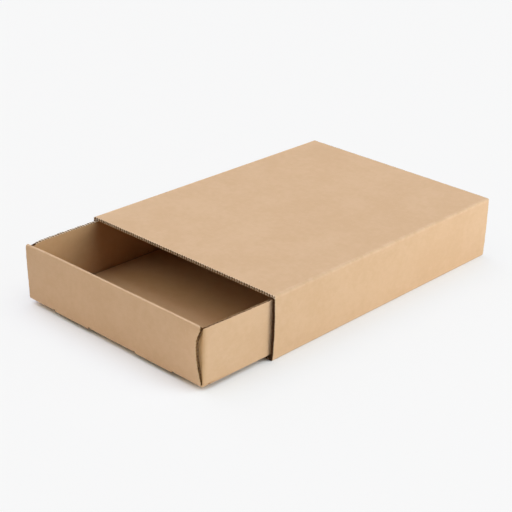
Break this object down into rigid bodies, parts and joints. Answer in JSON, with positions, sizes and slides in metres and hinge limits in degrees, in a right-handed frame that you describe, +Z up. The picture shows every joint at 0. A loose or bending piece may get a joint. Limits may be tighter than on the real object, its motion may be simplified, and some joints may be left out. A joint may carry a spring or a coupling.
{
  "type": "cardboard slide box",
  "caption": "Flat slide box of brown corrugated board: an open-ended folded sleeve with a shallow tray drawn part way out of its mouth.",
  "frame": {"origin": "centre of the sleeve's bottom face, on the surface the box stands on", "axes": "+X across the width to the right, +Y along the length from the mouth to the back, +Z up; the tray pulls out towards -Y"},
  "size_m": [0.13, 0.223, 0.035],
  "materials": {
    "board": "matte brown corrugated board"
  },
  "bodies": {
    "sleeve": {"sleeve": "board"},
    "tray": {"tray": "board"}
  },
  "joints": [
    {"name": "tray_slide", "type": "slide", "parent": "sleeve", "child": "tray", "axis": [0, -1, 0], "range_m": [-0.045, 0.135]}
  ]
}
